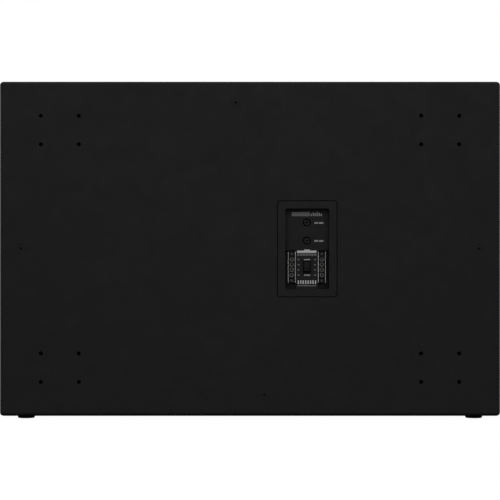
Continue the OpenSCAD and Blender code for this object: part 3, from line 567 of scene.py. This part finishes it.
def paint_dish():
    """The connector dish, with painted light by depth: its floor a shade lighter than its flange against
    the recess's shade, and painted shade deep in its pockets and sockets.
    """
    dish = textured_paint("dish_textured_paint", grey(0.0086), 0.58, 1.1 * MM, 0.1 * MM)
    # Painted light: the floor is a shade lighter than the flange, to offset the shade in the recess.
    dish.tint(dish.depth(FLOOR + 4 * MM, REAR - 4 * MM), BODY_BLACK, 0, 1)
    # Painted shade: the pockets turn black deeper than the floor.
    dish.tint(dish.depth(FLOOR - 0.5 * MM, FLOOR - 3 * MM), PIT_PAINTED_SHADE, 0, 1)
    paint_nodes(dish, "input_dish")
    paint_nodes(foam("closed_foam_black", TRIM_BLACK, 0.6 * MM), "dish_gasket", "driver_gaskets")
    socket = moulded_plastic("socket_black", grey(0.012), 0.5, specular=0.2)
    # Painted shade: the sockets turn black deep inside, under the dish's floor.
    socket.tint(socket.depth(FLOOR - 1.5 * MM, FLOOR - 3 * MM), HOLE_PAINTED_SHADE, 0, 1)
    paint_nodes(socket, "input_socket", "link_socket")
    paint_nodes(plated_metal("contact_brass", (0.030, 0.025, 0.015), 0.4), "socket_contacts")
    paint_nodes(moulded_plastic("strip_black", grey(0.003), 0.6, specular=0.15), "terminal_strips")
    screws = [f"terminal_screw_{strip}{place}" for strip in "ab" for place in (1, 2, 3, 4)]
    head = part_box(screws[0])[1].y
    # Painted shade: the plates' and screws' brass is darkened far below real brass, for the shade in the
    # pockets.
    paint_nodes(plated_metal("terminal_plate_brass_in_painted_shade", (0.018, 0.017, 0.015), 0.5), "terminal_plates")
    brass = plated_metal("terminal_screw_brass_in_painted_shade", (0.016, 0.0155, 0.014), 0.45)
    # Painted highlight: each head's top face is painted a lighter grey over the brass darkened as shade.
    brass.tint(brass.depth(head - 0.6 * MM, head - 0.2 * MM), (0.090, 0.088, 0.083), 0, 1)
    paint_nodes(brass, *screws)
    paint_nodes(moulded_plastic("switch_black", grey(0.001), 0.7, specular=0.1), "mode_switch_body")
    paint_nodes(moulded_plastic("rocker_black", grey(0.002), 0.5, specular=0.15), "mode_switch_rocker")
    paint_nodes(moulded_plastic("terminal_red", (0.30, 0.02, 0.02), 0.35), "driver_terminals")
    paint_nodes(rubber("cable_sheath", grey(0.014), 0.6), "driver_cables")


def paint_drivers():
    """The two drivers' hard parts and cones."""
    for side in ("left", "right"):
        axis = driver_centre(side)
        paint_nodes(powder_coat(f"{side}_cast_basket", (0.022, 0.022, 0.023), 0.5), f"{side}_basket")
        cone = pressed_paper(f"{side}_cone_pulp", (0.020, 0.020, 0.021), axis, 17 * MM)
        paint_nodes(cone, f"{side}_cone")
        cap = pressed_paper(f"{side}_cap_pulp", (0.015, 0.015, 0.016), axis, 60 * MM)
        paint_nodes(cap, f"{side}_dust_cap")
        paint_nodes(windings(f"{side}_coil_copper", 0.45 * MM), f"{side}_voice_coil")
        paint_nodes(ferrite(f"{side}_ferrite"), f"{side}_magnet")
        steel = turned_metal(f"{side}_faced_steel", (0.42, 0.42, 0.41), axis)
        paint_nodes(steel, f"{side}_top_plate", f"{side}_back_plate")


# ---------- the grille ----------


def perforated_face(bm, y):
    """Flat hexagons side by side at depth y, cut to the grille's outline.

    Each has a hole, except near the sheet's edges and round its screws.
    """
    pitch, web = 12 * MM, 2 * MM
    margin, land = 9 * MM, 13 * MM
    row = pitch * math.sqrt(3) / 2
    corner = pitch / math.sqrt(3)
    hole = (pitch - web) / math.sqrt(3)
    centre = middle(grille_low, grille_high)
    half_w, half_h = (grille_high.x - grille_low.x) / 2, (grille_high.z - grille_low.z) / 2
    screws = screw_points("grille_screws")
    shared = {}

    def vertex(x, z):
        key = (round(x * 1e5), round(z * 1e5))
        if key not in shared:
            shared[key] = bm.verts.new((centre.x + x, y, centre.z + z))
        return shared[key]

    def plain(x, z):
        at_edge = abs(x) >= half_w - margin or abs(z) >= half_h - margin
        return at_edge or any(math.hypot(centre.x + x - p.x, centre.z + z - p.z) <= land for p in screws)

    rows, columns = math.ceil(half_h / row) + 1, math.ceil(half_w / pitch) + 1
    turns = [math.radians(30 + 60 * k) for k in range(6)]
    for j in range(-rows, rows + 1):
        for i in range(-columns, columns + 1):
            x, z = (i + (j % 2) / 2) * pitch, j * row
            outer = [vertex(x + corner * math.cos(a), z + corner * math.sin(a)) for a in turns]
            if plain(x, z):
                bm.faces.new(outer)
                continue
            inner = [vertex(x + hole * math.cos(a), z + hole * math.sin(a)) for a in turns]
            for k in range(6):
                m = (k + 1) % 6
                bm.faces.new((outer[k], outer[m], inner[m], inner[k]))
    for half, way in ((half_w, (1, 0, 0)), (half_w, (-1, 0, 0)), (half_h, (0, 0, 1)), (half_h, (0, 0, -1))):
        bmesh.ops.bisect_plane(bm, geom=[*bm.verts, *bm.edges, *bm.faces], dist=1e-7,
                               plane_co=centre + Vector(way) * half, plane_no=way, clear_outer=True)


def give_back(bm, y):
    """Makes a flat sheet solid: keeps its front and puts its back at y."""
    made = bmesh.ops.extrude_face_region(bm, geom=list(bm.faces), use_keep_orig=True)
    for v in made["geom"]:
        if isinstance(v, bmesh.types.BMVert):
            v.co.y = y


def grille():
    """One folded sheet with hexagonal perforation, plain along its edges and round its screws."""
    sheet = 1.5 * MM
    low, high = grille_low, grille_high
    back = low.y + sheet
    bm = bmesh.new()
    perforated_face(bm, low.y)
    give_back(bm, back)
    for x0, x1, z0, z1 in ((low.x, low.x + sheet, low.z, high.z),
                           (high.x - sheet, high.x, low.z, high.z),
                           (low.x + sheet, high.x - sheet, low.z, low.z + sheet),
                           (low.x + sheet, high.x - sheet, high.z - sheet, high.z)):
        add_box(bm, (x0, back, z0), (x1, high.y, z1))
    obj = mesh_object("perforated_grille", bm, powder_coat("grille_powder_coat", TRIM_BLACK, 0.45))
    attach(obj, CABINET)
    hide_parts("grille")


def screw_points(node):
    """The centre of each loose piece of a node of screws."""
    data = NODES[node].data
    bm = bmesh.new()
    bm.from_mesh(data)
    bmesh.ops.remove_doubles(bm, verts=bm.verts, dist=1e-6)
    left, points = set(bm.verts), []
    while left:
        group, edge = set(), {left.pop()}
        while edge:
            group |= edge
            edge = {e.other_vert(v) for v in edge for e in v.link_edges} - group
        left -= group
        corners = np.array([v.co for v in group])
        points.append(Vector((corners.min(0) + corners.max(0)) / 2))
    bm.free()
    return points


def grille_foam():
    """A sheet of open foam behind the grille, slightly uneven, with a hole at each spacer."""
    low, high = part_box("grille_foam")
    spacers = screw_points("grille_spacers")
    clear, step = 11 * MM, 11 * MM
    sunk, lump_h, edge_sunk, back_in = 0.9 * MM, 0.6 * MM, 1.2 * MM, 0.2 * MM
    across, up = round((high.x - low.x) / step), round((high.z - low.z) / step)
    xs, zs = np.linspace(low.x, high.x, across + 1), np.linspace(low.z, high.z, up + 1)
    bm = bmesh.new()
    grid = {}
    for i, x in enumerate(xs):
        for j, z in enumerate(zs):
            lump = math.sin(23 * x + 1.7 * math.sin(31 * z)) * math.sin(27 * z + 2.1 * math.sin(19 * x))
            at_edge = i in (0, across) or j in (0, up)
            y = low.y + (sunk + lump_h * lump) + (edge_sunk if at_edge else 0)
            grid[i, j] = bm.verts.new((x, y, z))
    for i in range(across):
        for j in range(up):
            x, z = (xs[i] + xs[i + 1]) / 2, (zs[j] + zs[j + 1]) / 2
            if all(math.hypot(x - p.x, z - p.z) > clear for p in spacers):
                bm.faces.new((grid[i, j], grid[i + 1, j], grid[i + 1, j + 1], grid[i, j + 1]))
    bmesh.ops.delete(bm, geom=[v for v in bm.verts if not v.link_faces], context="VERTS")
    give_back(bm, high.y - back_in)
    obj = mesh_object("foam_sheet", bm, foam("open_foam_black", grey(0.006), 1.6 * MM), 40)
    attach(obj, CABINET)
    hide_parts("grille_foam")


# ---------- drivers ----------


def radial_blend(obj):
    """Bakes the piece's placement into its mesh."""
    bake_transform(obj)


def surround(side):
    """A half roll of doped cloth between the cone's edge and the basket's rim."""
    low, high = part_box(f"{side}_surround")
    cone_low, cone_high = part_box(f"{side}_cone")
    axis = driver_centre(side)
    lap, roll_w, skin = 8 * MM, 20 * MM, 1 * MM
    rim_r = (high.x - low.x) / 2
    lip_r = (cone_high.x - cone_low.x) / 2 - lap
    roll_in, roll_out = lip_r + lap, lip_r + lap + roll_w
    crest_r = (roll_in + roll_out) / 2
    seat = axis.y - high.y
    crown = high.y - low.y
    steps = 24
    outside = [(crest_r + crown * math.cos(a), seat + max(skin, crown * math.sin(a)))
               for a in (math.pi * (1 - i / steps) for i in range(steps + 1))]
    hollow = crown - skin
    inside = [(crest_r + hollow * math.cos(a), seat + hollow * math.sin(a))
              for a in (math.pi * i / steps for i in range(steps + 1))]
    profile = [(lip_r, seat + skin), *outside, (rim_r, seat + skin), (rim_r, seat), *inside, (lip_r, seat)]
    bm = bmesh.new()
    add_lathe(bm, axis, profile, 144)
    cloth = woven(f"{side}_doped_cloth", (0.013, 0.013, 0.014), 0.9 * MM, 0.6, 0.2)
    obj = mesh_object(f"{side}_surround_roll", bm, cloth, 50)
    radial_blend(obj)
    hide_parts(f"{side}_surround")


def spider(side):
    """A corrugated cloth disc between the coil's former and the basket."""
    low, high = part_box(f"{side}_spider")
    axis = driver_centre(side)
    rim_r = (high.x - low.x) / 2
    flat_r = rim_r - 13 * MM
    neck_r = 50.6 * MM
    level = axis.y - (low.y + high.y) / 2
    waves, steps, wave_h, skin = 5, 100, 2.6 * MM, 0.6 * MM
    front = [(neck_r + (flat_r - neck_r) * i / steps,
              level + wave_h * math.sin(math.tau * waves * i / steps)) for i in range(steps + 1)]
    front.append((rim_r, level))
    profile = front + [(r, out - skin) for r, out in reversed(front)]
    bm = bmesh.new()
    add_lathe(bm, axis, profile, 120)
    cloth = woven(f"{side}_cured_cotton", (0.55, 0.33, 0.09), 0.7 * MM, 0.75)
    obj = mesh_object(f"{side}_spider_cloth", bm, cloth, 60)
    radial_blend(obj)
    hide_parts(f"{side}_spider")


# ---------- handles ----------


def handle_grips():
    """A bar across each dish, ribbed where the hand holds it, all in black rubber."""
    low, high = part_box("handle_bars")
    centre = middle(low, high)
    grip_r = (high.z - low.z) / 2
    bar_r, grip_half, shoulder, groove = 7 * MM, 61 * MM, 3 * MM, 1.4 * MM
    half = (high.y - low.y) / 2
    ribs = 15
    finish = rubber("grip_rubber", grey(0.011), 0.65)
    for side, x in (("left", low.x + grip_r), ("right", high.x - grip_r)):
        profile = [(0, -half), (bar_r, -half), (bar_r, -grip_half - shoulder)]
        steps = ribs * 8
        for i in range(steps + 1):
            t = -grip_half + 2 * grip_half * i / steps
            lobe = abs(math.sin(math.pi * ribs * i / steps)) ** 0.6
            profile.append((grip_r - groove * (1 - lobe), t))
        profile += [(bar_r, grip_half + shoulder), (bar_r, half), (0, half)]
        bm = bmesh.new()
        add_lathe(bm, Vector((x, centre.y, centre.z)), profile, 48, closed=False)
        obj = mesh_object(f"{side}_handle_grip", bm, finish, 35)
        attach(obj, CABINET)
        if side == "left":
            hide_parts("handle_bars")


# ---------- printed marks in the dish ----------


def mark(bm, across, up, width, height):
    """A printed bar on the dish's floor, placed and sized in millimetres from the dish's centre.

    across runs towards -X, which is to the right as seen from behind.
    """
    lift, thick = 0.02 * MM, 0.12 * MM
    x, z = DISH.x - across * MM, DISH.z + up * MM
    w, h = width * MM / 2, height * MM / 2
    add_box(bm, (x - w, FLOOR + lift, z - h), (x + w, FLOOR + lift + thick, z + h))


def dish_marks():
    """Generic bars and dots where the real dish is lettered."""
    bright = bmesh.new()
    medium = bmesh.new()
    faint = bmesh.new()
    # a plain tab and a row of level bars at the top
    mark(faint, -12.8, 73.6, 38, 8.8)
    for i, tall in enumerate((5, 8, 6.5, 8.6, 7, 5)):
        mark(medium, 9.6 + 4.2 * i, 69.4 + tall / 2, 2.4, tall)
    # two words' worth of bar beside each socket
    for up in (54.8, 16.7):
        for across, wide in ((19.9, 8), (30.6, 9.4)):
            mark(medium, across, up, wide, 3.2)
    # a heading over the switch with a fainter line under it
    mark(bright, -0.2, -6.1, 41, 4.8)
    mark(bright, 0.4, -2.8, 12, 2.2)
    for i in range(7):
        mark(faint, -18 + 5.95 * i, -12.4, 4.6, 4.4)
    # the switch's two positions
    for up in (-22.7, -55.7):
        mark(medium, 0.6, up, 13, 2.4)
    # a dot beside each terminal
    for side in (-1, 1):
        for i in range(4):
            mark(faint, side * 17.5, -39.1 + (1.5 - i) * 11, 3.6, 2.6)
    # evenly spaced uprights and a rule at the bottom
    for i in range(8):
        mark(bright, -18 + 5.2 * i, -70.6, 2.6, 7.6)
    mark(faint, 0.1, -78, 39, 2)
    for name, bm, level in (("white", bright, 0.62), ("grey", medium, 0.35), ("dim", faint, 0.17)):
        obj = mesh_object(f"marks_{name}", bm, ink(f"ink_{name}", grey(level)))
        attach(obj, CABINET)


def frame_outline(width, height, radius, y, steps=8):
    """A rounded rectangle round the dish's centre at depth y."""
    points = []
    for k, (sx, sz) in enumerate(((1, 1), (-1, 1), (-1, -1), (1, -1))):
        for i in range(steps + 1):
            a = math.radians(90 * k + 90 * i / steps)
            points.append((DISH.x + sx * (width / 2 - radius) + radius * math.cos(a), y,
                           DISH.z + sz * (height / 2 - radius) + radius * math.sin(a)))
    return points


def gap_shadow_sheet():
    """A black sheet of painted shadow at the bottom of the gap round the dish."""
    gap, clear, radius = 1.6 * MM, 0.05 * MM, 6 * MM
    top, bottom = REAR - 1 * MM, REAR - 3.9 * MM
    width, height = dish_high.x - dish_low.x, dish_high.z - dish_low.z
    bm = bmesh.new()
    loops = []
    for grow, y in ((clear, bottom), (clear, top), (gap - clear, top), (gap - clear, bottom)):
        outline = frame_outline(width + 2 * grow, height + 2 * grow, radius + grow, y)
        loops.append([bm.verts.new(p) for p in outline])
    for a, b in zip(loops, loops[1:] + loops[:1]):
        for i in range(len(a)):
            j = (i + 1) % len(a)
            bm.faces.new((a[i], a[j], b[j], b[i]))
    shadow_paint = Finish("gap_shadow_black", grey(0.0008), 1.0, specular=0.0)
    shadow_paint.tint(shadow_paint.noise(1 * MM, 2), PIT_PAINTED_SHADE)
    shadow_paint.bump(shadow_paint.cells(0.8 * MM), 0.1 * MM)
    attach(mesh_object("gap_shadow_sheet", bm, shadow_paint), CABINET)


def strip_rails():
    """The light strips along both edges of each terminal strip."""
    wide, thick, strip_w = 1.2 * MM, 0.3 * MM, 16.3 * MM
    bm = bmesh.new()
    for x0 in (strip_low.x, strip_high.x - strip_w):
        for x in (x0, x0 + strip_w - wide):
            corners = (x, STRIP_TOP, strip_low.z), (x + wide, STRIP_TOP + thick, strip_high.z)
            add_box(bm, *corners, bevel=0.1 * MM)
    obj = mesh_object("strip_rails", bm, moulded_plastic("rail_grey", grey(0.43), 0.5))
    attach(obj, CABINET)


camera()
studio()
floor()
paint_cabinet()
paint_dish()
paint_drivers()
grille()
grille_foam()
for driver in ("left", "right"):
    surround(driver)
    spider(driver)
handle_grips()
dish_marks()
strip_rails()
gap_shadow_sheet()
